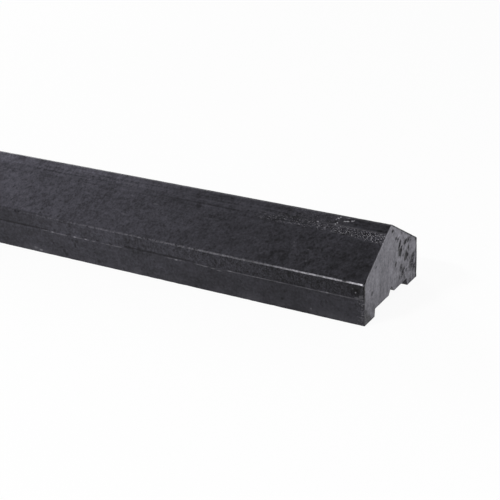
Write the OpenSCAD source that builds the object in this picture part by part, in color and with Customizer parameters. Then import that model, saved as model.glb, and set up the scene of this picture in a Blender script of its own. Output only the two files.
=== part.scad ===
// Concrete wall cap: a saddleback coping, cast in one piece.
// The section lies across Y with Z up, the cap runs along X, and the origin is
// at the middle of the cap, on the plane of the two soles that it rests on.

/* [Cap] */
// Length along the wall
cap_length = 1840; // [600:10:2400]
// Overall width across the soles
cap_width = 120; // [100:1:160]
// Overall height, from the soles to the top of the ridge
cap_height = 80; // [60:1:110]
// Height of the eaves, where a side meets its slope
eaves_height = 43; // [34:1:55]

/* [Mould seam] */
// Height of the seam that the two halves of the mould leave along each side
seam_height = 27; // [18:1:30]
// How far each side stands out below the seam
seam_step = 0.5; // [0.3:0.1:2]

/* [Underside] */
// Width of each sole
foot_width = 23; // [15:1:28]
// Depth of the recess that sits over the top of a wall
recess_depth = 8; // [5:0.5:12]
// How far each wall of the recess leans in from mouth to ceiling
recess_lean = 1; // [0:0.5:3]
// Width of the centre groove at its mouth
groove_width = 12; // [8:1:18]
// Width of the centre groove at its floor
groove_floor = 1.5; // [1:0.5:6]
// Depth of the centre groove above the recess ceiling
groove_depth = 7; // [3:0.5:8]

/* [Edges] */
// Radius of the ridge
ridge_radius = 4; // [1:0.5:8]
// Radius of the two eaves
eaves_radius = 2; // [1:0.5:5]
// Radius of the outer edge of each sole
sole_radius = 1.5; // [0.5:0.5:3]
// Radius of the edges round each end face
end_radius = 1; // [0.5:0.5:3]

/* [Hidden] */
$fn = 96;

// Every cut runs this far past the faces that it opens
overrun = 1;

half_width = cap_width / 2;
upper_half_width = half_width - seam_step;

// Each slope runs from its eaves to touch the round of the ridge
slope_foot = [upper_half_width, eaves_height];
ridge_centre = [0, cap_height - ridge_radius];
sight = ridge_centre - slope_foot;
pitch = atan2(sight[1], -sight[0]) + asin(ridge_radius / norm(sight));

// Sharp corners of the right-hand half of the section, from the middle of the
// groove round to the ridge: [y, z]
groove_corner = [groove_floor / 2, recess_depth + groove_depth];
groove_lip = [groove_width / 2, recess_depth];
recess_corner = [half_width - foot_width - recess_lean, recess_depth];
sole_inner = [half_width - foot_width, 0];
sole_outer = [half_width, 0];
seam_lower = [half_width, seam_height];
seam_upper = [upper_half_width, seam_height + seam_step];
eaves = slope_foot;
ridge = [0, eaves_height + upper_half_width * tan(pitch)];

right_half = [groove_corner, groove_lip, recess_corner, sole_inner, sole_outer,
              seam_lower, seam_upper, eaves, ridge];

function mirrored(point) = [-point[0], point[1]];
function reversed(points) = [for (i = [len(points) - 1 : -1 : 0]) points[i]];
function unit(v) = v / norm(v);

left_half = [for (point = reversed(right_half)) if (point[0] > 0) mirrored(point)];
sharp_section = concat(right_half, left_half);

// Rounded corners of the right half: [corner, neighbour, neighbour, radius]
right_corners = [
    [sole_outer, sole_inner, seam_lower, sole_radius],
    [eaves, seam_upper, ridge, eaves_radius]
];
ridge_corner = [ridge, eaves, mirrored(eaves), ridge_radius];

// Faces of the right half whose ends are rounded, bottom to top
right_faces = [
    [sole_outer - [0, overrun], seam_lower],
    [[upper_half_width, seam_height], eaves],
    [eaves, ridge]
];

// What a radius takes off one convex corner of the section
module corner_waste(corner, before, after, radius) {
    to_before = unit(before - corner);
    to_after = unit(after - corner);
    half_angle = acos(to_before * to_after) / 2;
    inward = unit(to_before + to_after);
    reach = radius / tan(half_angle);
    centre = corner + inward * radius / sin(half_angle);
    difference() {
        polygon([corner - inward * overrun, corner + to_before * reach,
                 centre, corner + to_after * reach]);
        translate(centre) circle(radius);
    }
}

// The section with its ridge, eaves and soles rounded
module section() {
    difference() {
        polygon(sharp_section);
        corner_waste(ridge_corner[0], ridge_corner[1], ridge_corner[2], ridge_corner[3]);
        for (side = [0, 1], c = right_corners)
            mirror([side, 0]) corner_waste(c[0], c[1], c[2], c[3]);
    }
}

// What a radius takes off one end of a face, which stands on the section's
// line from start to finish: the waste reaches out over the seam's step
module end_waste(start, finish) {
    along = finish - start;
    outward = seam_step + overrun;
    translate([start[0], start[1], cap_length / 2])
        rotate([90, 0, 90 + atan2(along[1], along[0])])
            linear_extrude(norm(along))
                difference() {
                    translate([-outward, -end_radius])
                        square([outward + end_radius, end_radius + overrun]);
                    translate([end_radius, -end_radius]) circle(end_radius);
                }
}

// The cap as cast, with the section upright in XY and the length along Z
module cast_body() {
    difference() {
        linear_extrude(cap_length, center = true) section();
        for (end = [0, 1], side = [0, 1], face = right_faces)
            mirror([0, 0, end]) mirror([side, 0, 0]) end_waste(face[0], face[1]);
    }
}

module wall_cap() {
    color("#37363b") rotate([90, 0, 90]) cast_body();
}

wall_cap();
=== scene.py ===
import math

import bpy
import numpy as np
from mathutils import Matrix, Vector
from mathutils.geometry import delaunay_2d_cdt


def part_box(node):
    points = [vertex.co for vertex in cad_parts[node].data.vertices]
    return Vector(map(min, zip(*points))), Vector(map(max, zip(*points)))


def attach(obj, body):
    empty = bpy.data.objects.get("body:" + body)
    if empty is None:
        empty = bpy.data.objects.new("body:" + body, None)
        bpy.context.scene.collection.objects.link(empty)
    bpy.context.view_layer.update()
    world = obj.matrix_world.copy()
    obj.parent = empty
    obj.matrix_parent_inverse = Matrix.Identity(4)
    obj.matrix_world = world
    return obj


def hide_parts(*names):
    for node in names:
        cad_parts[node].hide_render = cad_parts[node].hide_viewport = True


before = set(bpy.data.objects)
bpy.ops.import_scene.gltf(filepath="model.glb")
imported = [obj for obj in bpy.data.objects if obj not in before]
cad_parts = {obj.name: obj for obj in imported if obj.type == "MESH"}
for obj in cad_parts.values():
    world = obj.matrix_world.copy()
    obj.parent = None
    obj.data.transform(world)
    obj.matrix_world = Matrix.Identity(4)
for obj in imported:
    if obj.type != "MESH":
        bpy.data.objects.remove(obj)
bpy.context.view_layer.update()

# Wall cap
# The cap is one casting of fine concrete, saddle-backed above and recessed
# below to sit over a wall. It is cast in a two-part mould, which leaves a seam
# along each side, and its ends come out bare, pitted and ragged at the edges.
half_length, half_width, cap_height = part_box("wall_cap")[1]
eaves_height = 0.043
seam_height = 0.027
seam_step = 0.0005
seam_burr = 0.0003
foot_width = 0.023
recess_depth = 0.008
recess_lean = 0.001
groove_width = 0.012
groove_floor = 0.0015
groove_depth = 0.007
ridge_radius = 0.004
eaves_radius = 0.003
sole_radius = 0.0010
inner_radius = 0.0005
seam_radius = 0.0002

upper_half_width = half_width - seam_step
ridge_rise = cap_height - ridge_radius - eaves_height
pitch = (math.atan2(ridge_rise, upper_half_width)
         + math.asin(ridge_radius / math.hypot(upper_half_width, ridge_rise)))
apex_height = eaves_height + upper_half_width * math.tan(pitch)

# Corners of the section from the groove round to the ridge: y, z, radius,
# strips in its round, and how much of the wear it takes
right_corners = [
    (groove_floor / 2, recess_depth + groove_depth, inner_radius, 2, 0),
    (groove_width / 2, recess_depth, inner_radius, 2, 0.4),
    (half_width - foot_width - recess_lean, recess_depth, inner_radius, 2, 0),
    (half_width - foot_width, 0, inner_radius, 2, 0.3),
    (half_width - seam_burr, 0, sole_radius, 4, 0.4),
    (half_width - seam_burr, seam_height - seam_burr, seam_radius, 1, 0),
    (half_width, seam_height, seam_radius, 1, 0.5),
    (upper_half_width, seam_height + seam_step, seam_radius, 1, 0),
    (upper_half_width, eaves_height, eaves_radius, 6, 0.12),
]
ridge_corner = (0, apex_height, ridge_radius, 8, 0.2)
left_corners = [(-y, *rest) for y, *rest in reversed(right_corners)]
corners = right_corners + [ridge_corner] + left_corners
places = np.array([corner[:2] for corner in corners])
along = np.roll(places, -1, axis=0) - places
side_lengths = np.linalg.norm(along, axis=1)
along /= side_lengths[:, None]
inward = np.column_stack([-along[:, 1], along[:, 0]])

# How finely each face is divided, how far it is rounded where it meets an end,
# and how worn it is there: the slopes, the sides and the underside
face_steps = {"slope": 0.0025, "side": 0.0018, "under": 0.008}
end_rounds = {"slope": 0.0005, "side": 0.0007, "under": 0.0002}
end_wears = {"slope": 0.25, "side": 0.4, "under": 0.2}
middles = (places + np.roll(places, -1, axis=0)) / 2
on_slope = middles[:, 1] > eaves_height
on_side = (np.abs(middles[:, 0]) > half_width - foot_width / 2) & (middles[:, 1] > 0)
kinds = np.where(on_slope, "slope", np.where(on_side, "side", "under"))
end_insets = (np.array([end_rounds[kind] for kind in kinds])
              * np.where(on_side, np.abs(inward[:, 0]), 1))
side_shares = [np.linspace(0, 1, max(1, round(length / face_steps[kind])) + 1)[1:-1, None]
               for kind, length in zip(kinds, side_lengths)]


def section_outline(rounding):
    """The section's points, its sides moved in by a share of their end rounds."""
    insets = rounding * end_insets
    rounds = []
    for i, (_, _, radius, strips, _) in enumerate(corners):
        before, after = along[i - 1], along[i]
        turn = math.atan2(before[0] * after[1] - before[1] * after[0], before @ after)
        bend = math.copysign(1, turn)
        place = places[i] + np.linalg.solve(inward[[i - 1, i]], insets[[i - 1, i]])
        radius = min(radius, max(radius - bend * insets[[i - 1, i]].mean(), seam_radius))
        spoke = -bend * radius * inward[i - 1]
        centre = place - before * radius * math.tan(abs(turn) / 2) - spoke
        angles = np.linspace(0, turn, strips + 1)
        rounds.append(np.column_stack([
            centre[0] + spoke[0] * np.cos(angles) - spoke[1] * np.sin(angles),
            centre[1] + spoke[0] * np.sin(angles) + spoke[1] * np.cos(angles)]))
    points = []
    for arc, following, share in zip(rounds, rounds[1:] + rounds[:1], side_shares):
        points += [arc, arc[-1] * (1 - share) + following[0] * share]
    return np.concatenate(points)


def mesh_object(name, points, faces, **values):
    """An object for the node tree to read, with a value of each kind at every point."""
    mesh = bpy.data.meshes.new(name)
    mesh.from_pydata(np.asarray(points).tolist(), [], faces)
    for key, numbers in values.items():
        mesh.attributes.new(key, "FLOAT", "POINT").data.foreach_set("value", np.ravel(numbers))
    return bpy.data.objects.new(name, mesh)


outline = section_outline(0)
ring_size = len(outline)
outline_wear = np.concatenate([
    np.concatenate([np.full(strips + 1, wear), np.zeros(len(share))])
    for (_, _, _, strips, wear), share in zip(corners, side_shares)])
section = mesh_object("section", np.column_stack([np.zeros(ring_size), outline]), [],
                      wear=outline_wear)

# One end of the casting: rings of the section that roll over the edge, and a
# face filled with fine triangles out to the last of them
end_strips = 4
end_grain = 0.0008
end_depth = end_rounds["side"]
wall_half_length = half_length - end_depth
here = np.arange(ring_size)
there = np.roll(here, -1)
end_points = []
end_faces = []
for ring, angle in enumerate(np.linspace(0, math.pi / 2, end_strips + 1)):
    x = wall_half_length + end_depth * math.sin(angle)
    rim = section_outline(1 - math.cos(angle))
    end_points.append(np.column_stack([np.full(ring_size, x), rim]))
    if ring:
        outer = ring * ring_size
        inner = outer - ring_size
        end_faces += np.column_stack([
            inner + here, inner + there, outer + there, outer + here]).tolist()


def inside(points, loop, margin):
    """Which points lie inside a closed loop and at least margin away from it."""
    crossings = np.zeros(len(points), dtype=int)
    gap = np.full(len(points), np.inf)
    for a, b in zip(loop, np.roll(loop, -1, axis=0)):
        edge = b - a
        if edge[1]:
            spans = (a[1] > points[:, 1]) != (b[1] > points[:, 1])
            crossings += spans & (
                points[:, 0] < a[0] + (points[:, 1] - a[1]) * edge[0] / edge[1])
        nearest_share = np.clip(((points - a) @ edge) / (edge @ edge), 0, 1)
        away_from_edge = points - a - nearest_share[:, None] * edge
        gap = np.minimum(gap, np.linalg.norm(away_from_edge, axis=1))
    return (crossings % 2 == 1) & (gap > margin)


inner_triangles = 1
weld_gap = 1e-7
grid_y, grid_z = np.meshgrid(np.arange(-half_width, half_width, end_grain),
                             np.arange(0, cap_height, end_grain * math.sqrt(3) / 2))
grid_y[1::2] += end_grain / 2
grid = np.column_stack([grid_y.ravel(), grid_z.ravel()])
filling = grid[inside(grid, rim, end_grain / 2)]
flat = [Vector(point) for point in np.concatenate([rim, filling])]
_, _, triangles, origins, _, _ = delaunay_2d_cdt(
    flat, np.column_stack([here, there]).tolist(), [], inner_triangles, weld_gap)
source = np.array([origin[0] for origin in origins]) + end_strips * ring_size
end_points.append(np.column_stack([np.full(len(filling), half_length), filling]))
end_faces += [source[triangle].tolist() for triangle in triangles]
rim_wear = np.concatenate([
    np.full(strips + 1 + len(share), end_wears[kind])
    for (_, _, _, strips, _), share, kind in zip(corners, side_shares, kinds)])
end_wear = np.concatenate([outline_wear, np.tile(rim_wear, end_strips), np.zeros(len(filling))])
end_bare = np.concatenate([np.zeros((end_strips + 1) * ring_size), np.ones(len(filling))])
end_cap = mesh_object("end", np.concatenate(end_points), end_faces, wear=end_wear, bare=end_bare)

# Blowholes that trapped air left in the end: across, up, width, height and
# depth in millimetres, as seen from outside with the cap's back to the right
MILLIMETRE = 0.001
large_blowholes = [
    (3, 72, 6, 5, 0.9), (11, 61, 5, 5, 0.8), (15, 58, 6, 5, 1.0), (20, 50, 12, 13, 1.1),
    (21, 45, 13, 14, 1.2), (33, 49, 7, 5, 0.9), (40, 48, 6, 5, 0.7), (48, 46, 8, 6, 0.5),
    (27, 37, 5, 4, 0.5), (36, 34, 13, 9, 1.3), (11, 34, 5, 6, 1.0), (51, 27, 8, 7, 1.3),
    (49, 21, 12, 9, 1.4), (54, 14, 8, 5, 1.1), (23, 26, 7, 9, 1.0), (27, 19, 8, 10, 1.1),
    (20, 16, 5, 6, 0.5), (-42, 26, 5, 8, 0.7), (-47, 31, 6, 4, 0.4), (-33, 49, 6, 6, 0.6),
    (-2, 56, 6, 4, 0.5), (-14, 28, 5, 4, 0.3),
]
small_count = 14
small_widths = (1.4, 3)
small_heights = (1.6, 4)
small_depths = (0.2, 0.5)
blowhole_seed = 7
rng = np.random.default_rng(blowhole_seed)
scatter = filling[rng.choice(len(filling), small_count, replace=False)]
small_blowholes = np.column_stack([
    scatter / MILLIMETRE, rng.uniform(*small_widths, small_count),
    rng.uniform(*small_heights, small_count), rng.uniform(*small_depths, small_count)])
end_blowholes = np.concatenate([large_blowholes, small_blowholes]) * MILLIMETRE
seats = np.column_stack([np.full(len(end_blowholes), half_length), end_blowholes])

# One more opened in the front, above the seam and close to the end: x, y, z,
# width, height and depth. The far end repeats the near end's holes without it.
front_hole_from_end = 0.0092
front_hole = (half_length - front_hole_from_end, -upper_half_width, 0.0342, 0.0090, 0.0100, 0.0028)
other_end = (-1, 1, 1, 1, 1, 1)
seats = np.concatenate([seats, [front_hole], seats * other_end])

# The holes lean to the back and are drawn out upwards, so they are laid out in
# axes that lean as they do and are pressed together in height
tear_lean = 0.35
tear_stretch = 2.5
leaned = np.column_stack([
    seats[:, 0], seats[:, 1] - tear_lean * seats[:, 2], seats[:, 2] / tear_stretch])
blowholes = mesh_object("blowholes", leaned, [],
                        width=seats[:, 3], height=seats[:, 4], depth=seats[:, 5])

# The casting is the section drawn out along its length between two ends, with
# the relief that the mould, handling and trapped air leave pressed into it
coat = bpy.data.materials.new("coated_concrete")
coat.use_nodes = True
casting = bpy.data.node_groups.new("saddleback_casting", "GeometryNodeTree")
casting_values = {
    "Section": section, "Section Points": ring_size, "End": end_cap,
    "Half Length": wall_half_length, "Stations": 330, "Crowding": 0.4,
    "Wave Depth": 0.0002, "Wave Length": 0.12, "Lump Depth": 0.00018, "Lump Size": 0.016,
    "Wear Depth": 0.0009, "Wear Length": 0.010, "Grain Depth": 0.0003, "Grain Size": 0.004,
    "Torn Depth": 0.0007, "Torn Size": 0.010, "Torn Lean": tear_lean,
    "Torn Stretch": tear_stretch, "Torn From": -0.2 * half_width, "Torn Fully": 0.8 * half_width,
    "Blowholes": blowholes, "Full Blowhole": 0.002, "Seed": 3.0, "Material": coat}
socket_kinds = {float: "NodeSocketFloat", int: "NodeSocketInt",
                bpy.types.Object: "NodeSocketObject", bpy.types.Material: "NodeSocketMaterial"}
casting.interface.new_socket("Geometry", in_out="OUTPUT", socket_type="NodeSocketGeometry")
casting.interface.new_socket("Geometry", in_out="INPUT", socket_type="NodeSocketGeometry")
identifiers = {
    name: casting.interface.new_socket(
        name, in_out="INPUT", socket_type=socket_kinds[type(value)]).identifier
    for name, value in casting_values.items()}


def add_node(tree, kind, inputs=(), **settings):
    """Add a node, give it its settings, and link or set its inputs by name or number."""
    made = tree.nodes.new(kind)
    for name, value in settings.items():
        setattr(made, name, value)
    for key, value in dict(inputs).items():
        if isinstance(value, bpy.types.NodeSocket):
            tree.links.new(value, made.inputs[key])
        else:
            made.inputs[key].default_value = value
    return made


def tree_of(values):
    """The node tree that the linked ones among some values come from."""
    return next(value.id_data for value in values if isinstance(value, bpy.types.NodeSocket))


def calc(operation, *values):
    """One step of arithmetic."""
    return add_node(tree_of(values), "ShaderNodeMath", enumerate(values),
                    operation=operation).outputs[0]


def calc_vector(operation, *values):
    """One step of arithmetic on places or colours."""
    return add_node(tree_of(values), "ShaderNodeVectorMath", enumerate(values),
                    operation=operation).outputs[0]


def scaled(vector, factor):
    """A place or a colour times one number."""
    return add_node(tree_of([vector, factor]), "ShaderNodeVectorMath",
                    {0: vector, "Scale": factor}, operation="SCALE").outputs[0]


def axes_of(vector):
    """The three numbers of a place, by the names of their axes."""
    return add_node(vector.id_data, "ShaderNodeSeparateXYZ", {0: vector}).outputs


def place_at(x, y, z):
    """A place made of three numbers."""
    return add_node(tree_of([x, y, z]), "ShaderNodeCombineXYZ",
                    {"X": x, "Y": y, "Z": z}).outputs[0]


def total(*values):
    """Values added together."""
    result = values[0]
    for value in values[1:]:
        result = calc("ADD", result, value)
    return result


def product(*values):
    """Values multiplied together."""
    result = values[0]
    for value in values[1:]:
        result = calc("MULTIPLY", result, value)
    return result


def ease(value, start, finish):
    """A smooth step from 0 at start to 1 at finish."""
    return add_node(value.id_data, "ShaderNodeMapRange", {
        "Value": value, "From Min": start, "From Max": finish},
        interpolation_type="SMOOTHSTEP").outputs["Result"]


def noise(vector, size, detail, seed):
    """Cloudy noise from 0 to 1 whose largest lumps are about size across."""
    tree = vector.id_data
    if isinstance(size, bpy.types.NodeSocket):
        scale = calc("DIVIDE", 1.0, size)
    else:
        scale = 1 / size
    return add_node(tree, "ShaderNodeTexNoise", {
        "Vector": vector, "W": seed, "Scale": scale, "Detail": detail, "Roughness": 0.6},
        noise_dimensions="4D").outputs["Fac"]


def centred(value, reach):
    """A noise turned into a swing of up to reach either way."""
    return calc("MULTIPLY_ADD", value, 2 * reach, -reach)


def carried(name):
    """A value that a mesh carries at its points."""
    return add_node(casting, "GeometryNodeInputNamedAttribute", {"Name": name},
                    data_type="FLOAT").outputs[0]


def with_value(geometry, name, value):
    """A mesh that is given a value to carry at its points."""
    return add_node(casting, "GeometryNodeStoreNamedAttribute", {
        "Geometry": geometry, "Name": name, "Value": value},
        data_type="FLOAT", domain="POINT").outputs[0]


def sampled(geometry, value, index, kind="FLOAT"):
    """A value taken from one point of another mesh."""
    return add_node(casting, "GeometryNodeSampleIndex", {
        "Geometry": geometry, "Value": value, "Index": index}, data_type=kind).outputs[0]


def mesh_of(socket):
    """The mesh of an object that the tree is given."""
    return add_node(casting, "GeometryNodeObjectInfo", {"Object": socket}).outputs["Geometry"]


given = add_node(casting, "NodeGroupInput").outputs
position = add_node(casting, "GeometryNodeInputPosition").outputs[0]
normal = add_node(casting, "GeometryNodeInputNormal").outputs[0]
index = add_node(casting, "GeometryNodeInputIndex").outputs[0]

# Walls: a grid wrapped round the section, its rows closer together near the ends
columns = calc("ADD", given["Section Points"], 1.0)
walls = add_node(casting, "GeometryNodeMeshGrid", {
    "Vertices X": given["Stations"], "Vertices Y": columns}).outputs["Mesh"]
column = calc("MODULO", calc("MODULO", index, columns), given["Section Points"])
row = calc("FLOOR", calc("DIVIDE", index, columns))
last_row = calc("SUBTRACT", given["Stations"], 1.0)
row_share = calc("SUBTRACT", 1.0, calc("DIVIDE", calc("MULTIPLY", row, 2.0), last_row))
straight = product(calc("ADD", given["Crowding"], 1.0), row_share)
crowded = product(given["Crowding"], row_share, row_share, row_share)
station = product(calc("SUBTRACT", straight, crowded), given["Half Length"])
section_mesh = mesh_of(given["Section"])
section_place = axes_of(sampled(section_mesh, position, column, "FLOAT_VECTOR"))
walls = with_value(walls, "wear", sampled(section_mesh, carried("wear"), column))
walls = add_node(casting, "GeometryNodeSetPosition", {
    "Geometry": walls,
    "Position": place_at(station, section_place["Y"], section_place["Z"])}).outputs[0]

# Ends: the same one at both, the second turned about
weld_distance = 0.00001
first_end = mesh_of(given["End"])
second_end = add_node(casting, "GeometryNodeTransform", {
    "Geometry": first_end, "Rotation": (0, 0, math.pi)}).outputs[0]
joined = add_node(casting, "GeometryNodeJoinGeometry")
for piece in (walls, first_end, second_end):
    casting.links.new(piece, joined.inputs[0])
closed = add_node(casting, "GeometryNodeMergeByDistance", {
    "Geometry": joined.outputs[0], "Distance": weld_distance}).outputs[0]
closed = add_node(casting, "GeometryNodeSetShadeSmooth", {"Geometry": closed}).outputs[0]

# Waves and lumps of the mould, chips along the edges and the grain of the ends:
# all relief goes inwards along the surface's own normals
seed = given["Seed"]
wave = product(given["Wave Depth"], noise(position, given["Wave Length"], detail=1, seed=seed))
lump = product(given["Lump Depth"], noise(position, given["Lump Size"], detail=2, seed=seed))
chips = ease(noise(position, given["Wear Length"], detail=3, seed=seed), start=0.45, finish=0.75)
chipping = product(given["Wear Depth"], carried("wear"), chips)
grain = product(given["Grain Depth"], noise(position, given["Grain Size"], detail=3, seed=seed))

# Tears: ragged rows in the back half of each end, in the axes of the blowholes
point_axes = axes_of(position)
towards_back = calc("MULTIPLY", point_axes["Y"], calc("SIGN", point_axes["X"]))
back_half = ease(towards_back, given["Torn From"], given["Torn Fully"])
lean = product(point_axes["Z"], given["Torn Lean"])
leaning = place_at(point_axes["X"], calc("SUBTRACT", towards_back, lean),
                   calc("DIVIDE", point_axes["Z"], given["Torn Stretch"]))
torn_noise = noise(leaning, given["Torn Size"], detail=2, seed=seed)
torn = product(given["Torn Depth"], back_half, ease(torn_noise, start=0.3, finish=0.7))

# Blowholes: each point sinks into the one nearest to it, out to a ragged edge
hole_edge = 0.75
hole_fray = 0.25
fray_seed = 11.0
holes = mesh_of(given["Blowholes"])
nearest = add_node(casting, "GeometryNodeSampleNearest", {
    "Geometry": holes, "Sample Position": leaning}).outputs["Index"]
away = calc_vector("SUBTRACT", leaning, sampled(holes, position, nearest, "FLOAT_VECTOR"))
hole_width = sampled(holes, carried("width"), nearest)
hole_height = calc("DIVIDE", sampled(holes, carried("height"), nearest), given["Torn Stretch"])
in_widths = calc_vector("DIVIDE", away, place_at(hole_width, hole_width, hole_height))
spread = add_node(casting, "ShaderNodeVectorMath", {0: in_widths},
                  operation="LENGTH").outputs["Value"]
ragged = centred(noise(position, given["Grain Size"], detail=2, seed=fray_seed), hole_fray)
hollow = ease(calc("ADD", spread, ragged), start=hole_edge, finish=0.0)
hole_depth = sampled(holes, carried("depth"), nearest)
hole = product(hollow, hole_depth)
# How far each point lies in a blowhole, kept for painted shade in the coat and the concrete
depth_share = calc("MINIMUM", 1.0, calc("DIVIDE", hole_depth, given["Full Blowhole"]))
marked = with_value(closed, "blowhole", product(hollow, depth_share))

on_end = product(carried("bare"), calc("ADD", torn, grain))
depth = total(wave, lump, chipping, on_end, hole)
pressed = add_node(casting, "GeometryNodeSetPosition", {
    "Geometry": marked, "Offset": scaled(normal, calc("MULTIPLY", depth, -1.0))}).outputs[0]
whole = add_node(casting, "GeometryNodeRealizeInstances", {"Geometry": pressed}).outputs[0]
coated = add_node(casting, "GeometryNodeSetMaterial", {
    "Geometry": whole, "Material": given["Material"]}).outputs[0]
add_node(casting, "NodeGroupOutput", {"Geometry": coated})

cap = bpy.data.objects.new("cast_body", bpy.data.meshes.new("cast_body"))
bpy.context.collection.objects.link(cap)
caster = cap.modifiers.new("saddleback_casting", "NODES")
caster.node_group = casting
for name, value in casting_values.items():
    caster[identifiers[name]] = value
cap.data = bpy.data.meshes.new_from_object(
    cap.evaluated_get(bpy.context.evaluated_depsgraph_get()))
cap.modifiers.remove(caster)
cap.data.materials.clear()
cap.data.materials.append(coat)
for helper in (section, end_cap, blowholes):
    bpy.data.objects.remove(helper)

# The coat is a thin anthracite slurry, close and dark near the ends and
# dustier along the middle, brushed on over the long faces only. The ends show
# the bare grey concrete, with the coat wrapped a little way round the sides.
coat_tint = (1.035, 1.0, 1.24)
wear_and_highlight_tint = (1.02, 1.0, 1.08)
bare_tint = (1.02, 1.0, 1.11)
coat_dark = 0.019
coat_dusty = 0.029
bare_grey = 0.156
specular_level = 0.15
surface_tree = coat.node_tree
surface = surface_tree.nodes["Principled BSDF"]
surface.inputs["Specular IOR Level"].default_value = specular_level
coordinates = add_node(surface_tree, "ShaderNodeTexCoord").outputs["Object"]
axes = axes_of(coordinates)
from_end = calc("SUBTRACT", half_length, calc("ABSOLUTE", axes["X"]))
from_ridge = calc("ABSOLUTE", axes["Y"])
from_side = calc("SUBTRACT", half_width, from_ridge)
height = axes["Z"]
to_back = product(axes["Y"], calc("SIGN", axes["X"]))


def invert(share):
    """What a share leaves of the whole."""
    return calc("SUBTRACT", 1.0, share)


def dimmed(share, loss):
    """The light that is left where a share of the surface loses some of it."""
    return invert(product(share, loss))


def lifted(share, gain):
    """The light where a share of the surface gains some."""
    return calc("MULTIPLY_ADD", share, gain, 1.0)


def between(value, start, finish, soft):
    """A share that is 1 from start to finish, with soft edges outside them."""
    return product(ease(value, start - soft, start), ease(value, finish + soft, finish))


def either(*shares):
    """The largest of several shares."""
    result = shares[0]
    for share in shares[1:]:
        result = calc("MAXIMUM", result, share)
    return result


def near_line(first, first_place, second, second_place, near, far):
    """A share that falls from 1 near a line along the cap to 0 far from it."""
    gap = [calc("SUBTRACT", first, first_place), calc("SUBTRACT", second, second_place)]
    reach = calc("SQRT", total(product(gap[0], gap[0]), product(gap[1], gap[1])))
    return ease(reach, start=far, finish=near)


# Where things are: the slopes, the sides and the edges between them
face_blend = 0.002
seam_blend = 0.001
seam_lift = 0.0003
seam_shade_lift = 0.0019
slope_share = ease(height, eaves_height, eaves_height + face_blend)
side_share = invert(slope_share)
upper_side = product(ease(height, seam_height, seam_height + face_blend), side_share)
lower_side = ease(height, seam_height + seam_blend, seam_height - seam_blend)
above_seam = ease(height, seam_height - 2 * seam_blend, seam_height + seam_blend)
arris = near_line(from_ridge, upper_half_width, height, eaves_height, near=0.0005, far=0.0014)
seam = near_line(from_ridge, half_width, height, seam_height + seam_lift, near=0.0004, far=0.0009)
over_seam = near_line(from_ridge, half_width, height, seam_height + seam_shade_lift,
                      near=0.0006, far=0.0016)

# The smooth band beside the ridge: its dark stretches and its dusty ones lightened
# with painted light, painted highlights and a painted crease shade along it, and
# the strip below it that is scuffed and painted with glints near each end
band_reach = 0.0104
band_soft = 0.0005
in_band = product(slope_share, ease(
    from_ridge, start=band_reach + band_soft, finish=band_reach - band_soft))
strip_start = band_reach - 0.0002
strip_full = band_reach + 0.0008
below_band = product(slope_share, ease(from_ridge, strip_start, strip_full))
band_dark = product(in_band, either(
    between(from_end, start=0.186, finish=0.214, soft=0.008),
    between(from_end, start=0.0, finish=0.034, soft=0.012)))
# The band is lightened with dust and painted light: not at all at the end, most beyond a third of a
# metre from it
thinner_dust_and_light = 0.6
ridge_dust_and_light = product(in_band, calc(
    "ADD", ease(from_end, start=0.230, finish=0.330),
    product(ease(from_end, start=0.05, finish=0.10), thinner_dust_and_light)))
# Painted highlights: a thin line along the ridge's rounding and one along the band's lower edge
ridge_line = product(ease(from_ridge, start=0.0026, finish=0.0008),
                     ease(from_end, start=0.34, finish=0.24))
band_line_width = 0.0006
band_line = product(
    slope_share, between(from_ridge, band_reach - band_line_width, band_reach, soft=0.0008),
    ease(from_end, start=0.075, finish=0.050))
# Painted shade of a shallow crease below the band
band_crease_shade = product(slope_share, between(from_ridge, start=0.0142, finish=0.0146, soft=0.0008),
                      between(from_end, start=0.165, finish=0.240, soft=0.020))
# The strip below the band is scuffed and painted with glints, widest at the end
strip_slant = 0.05
slanted = calc("MULTIPLY_ADD", from_end, strip_slant, from_ridge)
scuffed_glinting_strip = product(below_band, ease(from_end, start=0.060, finish=0.048),
                      ease(slanted, start=0.0215, finish=0.0185))
scuffed_glinting_tail = product(between(from_ridge, start=0.0115, finish=0.0170, soft=0.0012),
                     between(from_end, start=0.058, finish=0.115, soft=0.035))
band_mottle = product(in_band, between(from_end, start=0.055, finish=0.105, soft=0.025))
drawn_band = product(slope_share, between(from_ridge, start=0.005, finish=0.018, soft=0.003))

# Noises of the coat, from the widest to the finest
brush_angle = math.radians(36)
brush_stretch = 2.6
cloud_press = (0.8, 1.2, 1.2)
drawn_press = (0.05, 1, 1)
dash_press = (1, 0, 0)
glint_press = (0.7, 1, 1)
stroke_press = (0.45, 1, 1)
drift = noise(coordinates, size=0.15, detail=2, seed=31)
clouds = noise(calc_vector("MULTIPLY", coordinates, cloud_press), size=0.028, detail=3, seed=32)
brushed_turn = add_node(surface_tree, "ShaderNodeMapping", {
    "Vector": coordinates, "Rotation": (0, 0, brush_angle), "Scale": (brush_stretch, 1, 1)},
    vector_type="TEXTURE").outputs[0]
brushed = noise(brushed_turn, size=0.0055, detail=2, seed=33)
drawn = noise(calc_vector("MULTIPLY", coordinates, drawn_press), size=0.0022, detail=2, seed=34)
speckle = noise(coordinates, size=0.0024, detail=2, seed=35)
pores = ease(noise(coordinates, size=0.0034, detail=1, seed=36), start=0.62, finish=0.74)
dashes = noise(calc_vector("MULTIPLY", coordinates, dash_press), size=0.012, detail=4, seed=37)
glint_noise = noise(calc_vector("MULTIPLY", coordinates, glint_press),
                    size=0.0008, detail=1, seed=38)
glints = ease(glint_noise, start=0.52, finish=0.70)
stroke_noise = noise(calc_vector("MULTIPLY", coordinates, stroke_press),
                     size=0.0009, detail=1, seed=39)
strokes = ease(stroke_noise, start=0.52, finish=0.68)
grit = noise(coordinates, size=0.0016, detail=1, seed=40)

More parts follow.
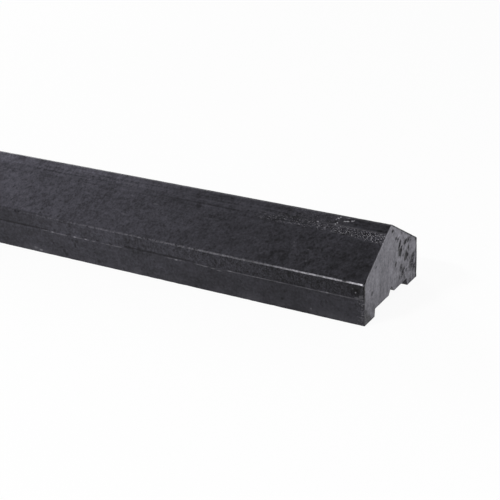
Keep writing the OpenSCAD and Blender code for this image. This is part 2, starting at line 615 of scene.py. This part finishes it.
# The ends are bare up to a frayed line: the coat wraps a few millimetres round
# the sides, further at the foot, and hardly at all round the slopes
end_fray = 0.0008
side_fray = 0.0025
foot_fray = 0.008
side_wrap = 0.0028
more_at_foot = 0.0016
front_wrap = 0.0004
more_at_back = 0.0010
wrap_rounding = 0.006
middle_blend = 0.002
wrap_blend = 0.0006
corner_inset = 0.002
corner_lift = 0.001
dark_corner_share = 0.5
fray = noise(coordinates, size=0.0035, detail=3, seed=21)
end_line = calc("ADD", from_end, centred(fray, end_fray))
foot_wrap = product(ease(height, start=0.018, finish=0.008), more_at_foot)
side_line = calc("SUBTRACT", calc("ADD", from_side, centred(fray, side_fray)),
                 calc("ADD", foot_wrap, side_wrap))
under_slope = calc("SUBTRACT", apex_height, calc(
    "MULTIPLY_ADD", from_ridge, math.tan(pitch), height))
from_slope = calc("MULTIPLY", under_slope, math.cos(pitch))
rear = ease(to_back, start=-middle_blend, finish=middle_blend)
fore = ease(to_back, start=middle_blend, finish=-middle_blend)
slope_wrap = calc("MULTIPLY_ADD", rear, more_at_back, front_wrap)
slope_line = calc("SUBTRACT", from_slope, slope_wrap)
wrap_line = calc("SMOOTH_MIN", side_line, slope_line, wrap_rounding)
foot_line = total(height, from_side, centred(fray, foot_fray))
foot_corner = near_line(from_side, foot_width - corner_inset, height, recess_depth + corner_lift,
                        near=0.001, far=0.006)
# The end stays dark coat at the bottom of the front foot and in patches at its inner corner under
# the recess
dark_front_foot = product(fore, either(
    ease(foot_line, start=0.0205, finish=0.0175),
    product(foot_corner, ease(fray, start=0.40, finish=0.60), dark_corner_share)))
bare_share = product(ease(end_line, start=0.0011, finish=0.0006),
                     ease(wrap_line, start=-wrap_blend, finish=wrap_blend), invert(dark_front_foot))

# The coat's own light: dusty on the slopes, less dusty and darker as painted shade
# on the sides, and mottled, speckled and brushed
settled_sway = 0.12
side_dust_and_shade_near = 0.80
side_dust_and_shade_change = -0.24
cloud_swing = 0.45
grain_level = 0.95
lower_grain_loss = 0.15
end_grain_gain = 0.45
coarse_grit = 1.8
coarse_speckle = 0.8
coarse_brush_loss = 0.5
brushed_swing = 0.68
drawn_swing = 0.22
drawn_band_swing = 0.60
settled = ease(calc("ADD", from_end, centred(drift, settled_sway)), start=0.02, finish=0.50)
# The sides take less of the dust and are darker, partly as painted shade
side_dust_and_shade = calc("MULTIPLY_ADD", ease(from_end, start=0.29, finish=0.42),
                 side_dust_and_shade_change, side_dust_and_shade_near)
dust_and_side_shade = product(settled, either(slope_share, side_dust_and_shade), coat_dusty)
coarse = product(upper_side, ease(from_end, start=0.34, finish=0.03))
slope_by_end = product(slope_share, ease(from_end, start=0.17, finish=0.03))
grain_strength = total(grain_level, product(lower_side, -lower_grain_loss),
                       product(slope_by_end, end_grain_gain))
grain_swing = total(
    product(grain_strength, centred(speckle, 1.0)),
    product(coarse, total(centred(grit, coarse_grit), centred(speckle, coarse_speckle))))
brush_swing = total(centred(brushed, brushed_swing), centred(drawn, drawn_swing),
                    product(drawn_band, centred(drawn, drawn_band_swing)))
tone = total(1.0, centred(clouds, cloud_swing), grain_swing, product(
    dimmed(coarse, coarse_brush_loss), grain_strength, brush_swing))

# What takes light from the coat or gives it some: pores with painted shade in them,
# painted shade above the seam, the coat's edge at the end with painted shade on its
# rounding, the band with its dark stretches, painted shade in a crease below it and
# dust and painted light towards the ridge, and longer stretches of the sides
pore_shade = 0.40
dark_band_loss = 0.17
crease_shade_loss = 0.35
seam_shade_loss = 0.6
lower_edge_loss = 0.15
more_upper_edge_loss = 0.40
upper_far_loss = 0.24
upper_end_loss = 0.22
lower_far_loss = 0.11
ridge_light_gain = 0.18
upper_middle_gain = 0.09
lower_end_gain = 0.16
# The coat darkens at the end: partly its own edge, partly painted shade on the rounding
edge_loss = calc("MULTIPLY_ADD", above_seam, more_upper_edge_loss, lower_edge_loss)
dark_edge = product(ease(from_end, start=0.0018, finish=0.0006), edge_loss)
# Beyond this the seam has no painted highlight, and the painted shade above it is unbroken
past_lit_seam = ease(from_end, start=0.372, finish=0.384)
shaded_seam = either(past_lit_seam, between(from_end, start=0.200, finish=0.260, soft=0.010))
seam_shade = product(over_seam, either(shaded_seam, ease(dashes, start=0.46, finish=0.40)))
upper_far = product(upper_side, ease(from_end, start=0.35, finish=0.42))
upper_middle = product(upper_side, between(from_end, start=0.19, finish=0.29, soft=0.03))
upper_end = product(upper_side, ease(from_end, start=0.18, finish=0.04))
lower_far = product(lower_side, ease(from_end, start=0.25, finish=0.31))
lower_end = product(lower_side, ease(from_end, start=0.09, finish=0.01))
# Pores darkened as painted shade in them
plain_level = product(
    calc("ADD", dust_and_side_shade, coat_dark), tone, dimmed(pores, pore_shade),
    dimmed(band_dark, dark_band_loss), dimmed(band_crease_shade, crease_shade_loss), invert(dark_edge),
    dimmed(seam_shade, seam_shade_loss), lifted(ridge_dust_and_light, ridge_light_gain),
    dimmed(upper_far, upper_far_loss), lifted(upper_middle, upper_middle_gain),
    dimmed(lower_far, lower_far_loss), dimmed(upper_end, upper_end_loss),
    lifted(lower_end, lower_end_gain))

# Wear and painted highlights: the eaves and the seam rubbed pale and painted with
# highlights, more so towards the end, the scuffs beside the ridge painted with
# glints, painted highlights along the ridge and the band's edge, and rubbed places
# round the end and along the sole
lit_arris_gain = 0.057
arris_break_floor = 0.55
highlight_gap_loss = 0.9
lit_seam_gain = 0.058
seam_break_floor = 0.6
dull_share = 0.8
scuff_glint_gain = 0.17
more_glint_at_end = 0.10
stroke_glint_gain = 0.075
mottle_glint_gain = 0.035
line_highlight_gain = 0.022
end_edge_wear = 0.020
sole_edge_wear = 0.010
speck_wear = 0.08
arris_light_gains = (0.6, 4.3, 6.0)
# Painted highlight along the eaves' rounding, growing towards the end, over rubbed pale wear
arris_light_by_end = total(
    ease(from_end, start=0.52, finish=0.20),
    product(ease(from_end, start=0.230, finish=0.150), arris_light_gains[0]),
    product(ease(from_end, start=0.125, finish=0.045), arris_light_gains[1]),
    product(ease(from_end, start=0.0185, finish=0.0135), arris_light_gains[2]))
arris_breaks = either(ease(speckle, start=0.32, finish=0.60),
                      product(ease(from_end, start=0.26, finish=0.10), arris_break_floor))
# Gaps in the painted highlight: one about 20 mm from the end and one at the end itself
arris_highlight_gap = either(between(from_end, start=0.0198, finish=0.0222, soft=0.0020),
                   ease(from_end, start=0.0030, finish=0.0012))
lit_worn_arris = product(arris, arris_breaks, arris_light_by_end, dimmed(arris_highlight_gap, highlight_gap_loss), lit_arris_gain)
# The seam's ledge is rubbed pale and painted with a highlight, dull in stretches and broken into
# dashes
dull_seam = either(
    past_lit_seam, between(from_end, start=0.224, finish=0.268, soft=0.006),
    product(between(from_end, start=0.150, finish=0.170, soft=0.008), dull_share))
seam_breaks = either(ease(dashes, start=0.42, finish=0.54),
                     product(ease(from_end, start=0.20, finish=0.10), seam_break_floor))
lit_worn_seam = product(seam, seam_breaks, invert(dull_seam), lit_seam_gain)
# Painted glints as pale flecks: in the strip, in its tail and in the band's mottle
strip_glint_gain = calc("MULTIPLY_ADD", ease(from_end, start=0.030, finish=0.008),
                  more_glint_at_end, scuff_glint_gain)
scuffs_and_glints = total(
    product(scuffed_glinting_strip, glints, strip_glint_gain), product(scuffed_glinting_tail, strokes, stroke_glint_gain),
    product(band_mottle, glints, mottle_glint_gain), product(band_line, line_highlight_gain),
    product(ridge_line, line_highlight_gain))
end_edge = product(side_share, between(from_end, start=0.0014, finish=0.0028, soft=0.0012),
                   ease(speckle, start=0.40, finish=0.62), end_edge_wear)
sole_edge = product(lower_side, ease(height, start=0.010, finish=0.004),
                    ease(clouds, start=0.46, finish=0.62), sole_edge_wear)
lower_specks = product(lower_side, ease(from_end, start=0.0100, finish=0.0005),
                       ease(grit, start=0.54, finish=0.70), speck_wear)

# Marks on the front near one end, all in millimetres: from the end, up a side
# or down from the ridge, length, height, and how much light each loses or adds
dark_marks = [
    (333.5, 18, 2.6, 7, 0.65), (331, 23, 6, 6, 0.45), (336, 23, 4, 4, 0.35),
    (348.5, 9, 5, 6, 0.5), (346, 5, 5, 5, 0.5), (351.5, 12.5, 5, 3, 0.45), (304, 5, 6, 7, 0.4),
    (87, 10.5, 4, 3.6, 0.6), (79, 38, 5, 10, 0.5), (12, 38, 22, 11, 0.30),
]
# The pale marks from about 25 to 30 mm up follow the seam: painted highlights on its ledge, partly
# rubbed wear
light_marks = [
    (387, 4.6, 6, 3.6, 0.05), (380, 3.4, 6, 2.6, 0.09), (372, 27.6, 10, 1.2, 0.05),
    (362, 27.6, 4, 1.4, 0.08), (333, 27.4, 4, 1.4, 0.12), (319, 27.5, 4, 1.4, 0.12),
    (207, 26.8, 4, 2, 0.08), (173, 26.6, 8, 1.2, 0.06), (164, 26.2, 7, 1.2, 0.06),
    (157, 25.4, 8, 1.3, 0.05), (145, 27.4, 6, 1.6, 0.05), (3.5, 30, 6, 4, 0.05),
    (56, 6.7, 1.6, 2.6, 0.06), (38.7, 27.4, 4, 1.8, 0.05), (10, 32.6, 1.8, 1.8, 0.12),
    (12.5, 36.4, 1.4, 1.4, 0.06), (7, 28.3, 9, 1.8, 0.045),
]
# Pale scuffs near the ridge, painted as glints
ridge_scuffs_and_glints = [
    (55.9, 5.0, 1.8, 1.5, 0.12), (54.8, 3.6, 1.8, 1.5, 0.16), (53.6, 3.8, 1.8, 1.5, 0.22),
    (52.4, 2.3, 1.8, 1.5, 0.22), (54.6, 9.6, 1.8, 1.6, 0.18), (53.2, 8.1, 1.8, 1.6, 0.22),
    (46.3, 5.5, 4, 1.3, 0.20), (43.5, 5.0, 4, 1.3, 0.22), (39.3, 4.0, 3, 1.4, 0.22),
    (37.8, 3.3, 2, 1.2, 0.16), (43.9, 2.0, 4, 1.1, 0.08), (73.3, 10.3, 3, 1.3, 0.14),
    (91.5, 15.6, 3, 1.1, 0.08), (86.7, 33.7, 2, 2, 0.025), (69.3, 37.8, 2.4, 1.6, 0.025),
]
slope_stains = [
    (123, 50, 6, 5, 0.35), (104, 46.5, 6, 4, 0.35), (98, 45.5, 5, 4, 0.35), (90, 50, 8, 9, 0.40),
    (112, 53, 14, 6, 0.30), (101, 56, 14, 4, 0.35), (373, 37, 9, 8, 0.20), (355, 34, 9, 8, 0.15),
    (204, 17, 6, 8, 0.35), (40, 46, 12, 14, 0.12), (22, 40, 62, 46, 0.22), (14, 54, 30, 10, 0.12),
]
slope_scratches = [
    (252, 24, 8, 1.4, 0.025), (187, 27.5, 32, 1.5, 0.008), (294, 8.8, 16, 1.6, 0.025),
    (281, 40, 9, 2, 0.015), (85, 37, 3, 3, 0.015), (66, 48.5, 3, 2.4, 0.015),
]
coat_hole_shade = 0.9
front = product(ease(axes["X"], start=0.0, finish=MILLIMETRE),
                ease(axes["Y"], start=0.0, finish=-MILLIMETRE))
front_side = product(front, side_share)
front_slope = product(front, slope_share)


def marks(spots, first, second):
    """The light in a list of soft spots, each placed by two distances."""
    result = 0.0
    for first_place, second_place, length, breadth, change in spots:
        gap_along = calc("MULTIPLY_ADD", first, 2 / (length * MILLIMETRE),
                         -2 * first_place / length)
        gap_across = calc("MULTIPLY_ADD", second, 2 / (breadth * MILLIMETRE),
                          -2 * second_place / breadth)
        spot = near_line(gap_along, 0.0, gap_across, 0.0, near=0.4, far=1.1)
        result = calc("MULTIPLY_ADD", spot, change, result)
    return result


# Painted shade in the blowholes, darkest in the deep ones
hole_shade_share = add_node(surface_tree, "ShaderNodeAttribute", attribute_name="blowhole").outputs["Fac"]
coat_level = product(
    plain_level, dimmed(hole_shade_share, coat_hole_shade),
    invert(product(front_side, marks(dark_marks, from_end, height))),
    invert(product(front_slope, marks(slope_stains, from_end, from_ridge))))
# Rubbed wear together with painted highlights and glints
wear_and_highlight_level = total(
    lit_worn_arris, lit_worn_seam, scuffs_and_glints, end_edge, sole_edge, lower_specks,
    product(front_side, marks(light_marks, from_end, height)),
    product(front_slope, marks(ridge_scuffs_and_glints + slope_scratches, from_end, from_ridge)))

# The bare concrete is mottled and streaked from top to bottom, with a painted
# highlight along the front slope's edge, dusky at the front foot and darkened as
# painted shade in the blowholes. Its painted highlights, on lit bulges and ridges
# and broadly over the back half, are placed in millimetres towards the back and up.
end_highlights = [
    (38, 35, 60, 90, 0.12), (17, 60, 6, 8, 0.40), (32, 18, 8, 11, 0.35), (37, 52, 12, 4, 0.20),
    (27, 52, 5, 5, 0.20),
]
streak_press = (1, 1, 0.2)
mottle_swing = 0.50
streak_swing = 0.50
bare_speckle_swing = 0.60
lit_rim_gain = 0.40
foot_dusk_loss = 0.22
bare_hole_shade = 0.12
mottle = noise(coordinates, size=0.013, detail=4, seed=41)
streaks = noise(calc_vector("MULTIPLY", coordinates, streak_press), size=0.003, detail=3, seed=42)
bare_tone = total(1.0, centred(mottle, mottle_swing), centred(streaks, streak_swing),
                  centred(speckle, bare_speckle_swing))
# Painted highlight along the front slope's edge of the bare end
lit_rim = product(ease(from_slope, start=0.0024, finish=0.0010), fore, lit_rim_gain)
foot_dusk = product(ease(height, start=0.036, finish=0.006),
                    ease(to_back, start=0.010, finish=-0.030))
bare_level = product(
    bare_grey, bare_tone, dimmed(hole_shade_share, bare_hole_shade), dimmed(foot_dusk, foot_dusk_loss),
    total(lit_rim, marks(end_highlights, to_back, height), 1.0))


def mixed_by(share, kind, first, second):
    """One value where a share is 0 and another where it is 1."""
    # The node has sockets for each kind under the same names, so they go by number
    slots = {"FLOAT": (2, 3, 0), "RGBA": (6, 7, 2)}
    first_slot, second_slot, result_slot = slots[kind]
    return add_node(surface_tree, "ShaderNodeMix", {
        0: share, first_slot: first, second_slot: second}, data_type=kind).outputs[result_slot]


coat_colour = calc_vector("ADD", scaled(coat_tint, coat_level), scaled(wear_and_highlight_tint, wear_and_highlight_level))
colour = mixed_by(bare_share, "RGBA", coat_colour, scaled(bare_tint, bare_level))
surface_tree.links.new(colour, surface.inputs["Base Color"])

# Gloss: the coat is half matt, smoother where it is worn, and the concrete dull
coat_roughness = 0.48
brushed_roughness = 0.10
dust_roughness = 0.08
bare_roughness = 0.85
arris_polish = 0.30
scuff_polish = 0.22
polished = either(product(arris, arris_polish), product(scuffed_glinting_strip, scuff_polish))
worn_roughness = calc(
    "SUBTRACT", total(coat_roughness, centred(brushed, brushed_roughness),
                      product(settled, dust_roughness)), polished)
roughness = mixed_by(bare_share, "FLOAT", worn_roughness, bare_roughness)
surface_tree.links.new(roughness, surface.inputs["Roughness"])

# Fine relief, in millimetres
speckle_relief = 0.10
more_upper_speckle = 0.12
brushed_relief = 0.12
cloud_relief = 0.25
pore_relief = -0.12
arris_smoothing = 0.9
glint_relief = 0.25
stroke_relief = 0.15
band_relief = 0.15
mottle_relief = 0.3
streak_relief = 0.08
bare_speckle_relief = 0.1
speckle_height = total(speckle_relief, product(upper_side, more_upper_speckle))
coat_relief = total(
    product(dimmed(arris, arris_smoothing), total(
        product(speckle, speckle_height), product(brushed, brushed_relief),
        product(clouds, cloud_relief), product(pores, pore_relief))),
    product(scuffed_glinting_strip, glints, glint_relief), product(scuffed_glinting_tail, strokes, stroke_relief),
    product(in_band, ease(from_end, start=0.232, finish=0.214), band_relief))
bare_relief = total(product(mottle, mottle_relief), product(streaks, streak_relief),
                    product(speckle, bare_speckle_relief))
bump = add_node(surface_tree, "ShaderNodeBump", {
    "Strength": 1.0, "Distance": MILLIMETRE,
    "Height": mixed_by(bare_share, "FLOAT", coat_relief, bare_relief)})
surface_tree.links.new(bump.outputs[0], surface.inputs["Normal"])

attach(cap, "root")
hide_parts("wall_cap")

# Studio
# A sheet of white paper lies under the cap and runs out of sight. A narrow lamp
# over the front picks out the edges, and two softboxes light the near end and
# the back, in a room whose walls are pale and whose ceiling is dim.
floor_reach = 60.0
paper_white = (0.85, 0.85, 0.85, 1)
paper_glow_share = 0.92

floor_mesh = bpy.data.meshes.new("floor")
floor_corners = [(-floor_reach, -floor_reach, 0), (floor_reach, -floor_reach, 0),
                 (floor_reach, floor_reach, 0), (-floor_reach, floor_reach, 0)]
floor_mesh.from_pydata(floor_corners, [], [(0, 1, 2, 3)])
floor = bpy.data.objects.new("floor", floor_mesh)
bpy.context.collection.objects.link(floor)
paper = bpy.data.materials.new("white_paper")
paper.use_nodes = True
sheet = paper.node_tree
sheet.nodes.clear()
path = add_node(sheet, "ShaderNodeLightPath").outputs
seen = either(path["Is Camera Ray"], path["Is Glossy Ray"], path["Is Transmission Ray"])
lit = add_node(sheet, "ShaderNodeBsdfDiffuse", {"Color": paper_white})
glow = add_node(sheet, "ShaderNodeEmission", {"Strength": 1.0})
mixed = add_node(sheet, "ShaderNodeMixShader", {
    0: product(seen, paper_glow_share), 1: lit.outputs[0], 2: glow.outputs[0]})
add_node(sheet, "ShaderNodeOutputMaterial", {"Surface": mixed.outputs[0]})
floor_mesh.materials.append(paper)

wall_level = 0.5
ceiling_level = 0.35
ceiling_rise = 0.8
world = bpy.data.worlds.new("studio")
world.use_nodes = True
room = world.node_tree
direction = add_node(room, "ShaderNodeTexCoord").outputs["Generated"]
level = add_node(room, "ShaderNodeMapRange", {
    "Value": axes_of(direction)["Z"], "From Min": 0.0, "From Max": ceiling_rise,
    "To Min": wall_level, "To Max": ceiling_level})
room.links.new(level.outputs[0], room.nodes["Background"].inputs["Strength"])
room.nodes["Background"].inputs["Color"].default_value = (1, 1, 1, 1)
bpy.context.scene.world = world


def softbox(name, stand, aim, wide, tall, watts):
    """A rectangular lamp where its stand is, turned towards aim."""
    lamp = bpy.data.lights.new(name, "AREA")
    lamp.shape = "RECTANGLE"
    lamp.size = wide
    lamp.size_y = tall
    lamp.energy = watts
    holder = bpy.data.objects.new(name, lamp)
    holder.location = stand
    holder.rotation_euler = (Vector(aim) - Vector(stand)).to_track_quat("-Z", "Y").to_euler()
    bpy.context.collection.objects.link(holder)


aim_height = 0.04
edge_lamp_x = half_length - 0.86
softbox("edge_softbox", stand=(edge_lamp_x, -1.3, 1.38), aim=(edge_lamp_x, 0, aim_height),
        wide=0.40, tall=0.05, watts=20)
softbox("end_softbox", stand=(half_length + 1.8, -0.5, 0.9), aim=(half_length, 0, aim_height),
        wide=1.0, tall=1.0, watts=22)
softbox("back_softbox", stand=(-half_length - 0.8, 2.0, 0.9),
        aim=(-half_length / 2, 0, aim_height), wide=1.0, tall=1.0, watts=55)

# The camera stands off the cap's right-hand end, a little above it
picture_size = 500
focal_pixels = 1335.66
sensor_width = 36
camera_azimuth = math.radians(31.367)
camera_elevation = math.radians(24.816)
camera_roll = math.radians(-2.511)
camera_from_end = (0.48139, -1.04722, 0.58975)

lens = bpy.data.cameras.new("camera")
lens.sensor_width = sensor_width
lens.lens = focal_pixels / picture_size * sensor_width
camera = bpy.data.objects.new("camera", lens)
camera_turn = (Matrix.Rotation(camera_azimuth, 4, "Z")
               @ Matrix.Rotation(math.pi / 2 - camera_elevation, 4, "X")
               @ Matrix.Rotation(camera_roll, 4, "Z"))
camera_place = Vector(camera_from_end) + Vector((half_length, 0, 0))
camera.matrix_world = Matrix.Translation(camera_place) @ camera_turn
bpy.context.collection.objects.link(camera)
bpy.context.scene.camera = camera
bpy.context.scene.view_settings.view_transform = "Standard"
